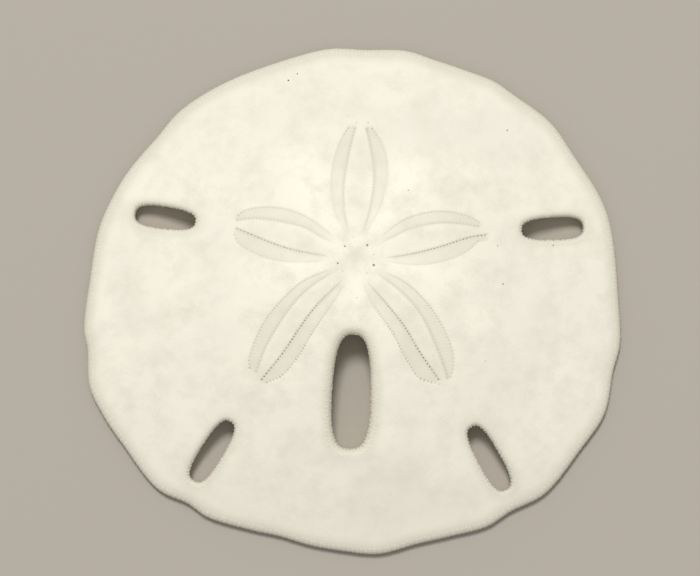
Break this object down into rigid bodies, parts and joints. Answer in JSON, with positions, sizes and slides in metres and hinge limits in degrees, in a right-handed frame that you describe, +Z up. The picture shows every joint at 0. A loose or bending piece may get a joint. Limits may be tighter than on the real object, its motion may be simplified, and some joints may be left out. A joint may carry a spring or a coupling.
{
  "type": "sand dollar",
  "caption": "Dry, bleached keyhole sand dollar test: a low, thin-rimmed disc with petal-shaped pore bands on top and slots through it, lying on its flat underside.",
  "frame": {"origin": "on the surface it rests on, under the middle of the test's width and length", "axes": "+Z up out of the petal side, +Y to the animal's front, +X to the right seen from above"},
  "size_m": [0.0798, 0.0752, 0.009],
  "materials": {
    "shell": "chalky, finely grained, bleached cream white"
  },
  "bodies": {
    "root": {"shell": "shell"}
  },
  "joints": []
}
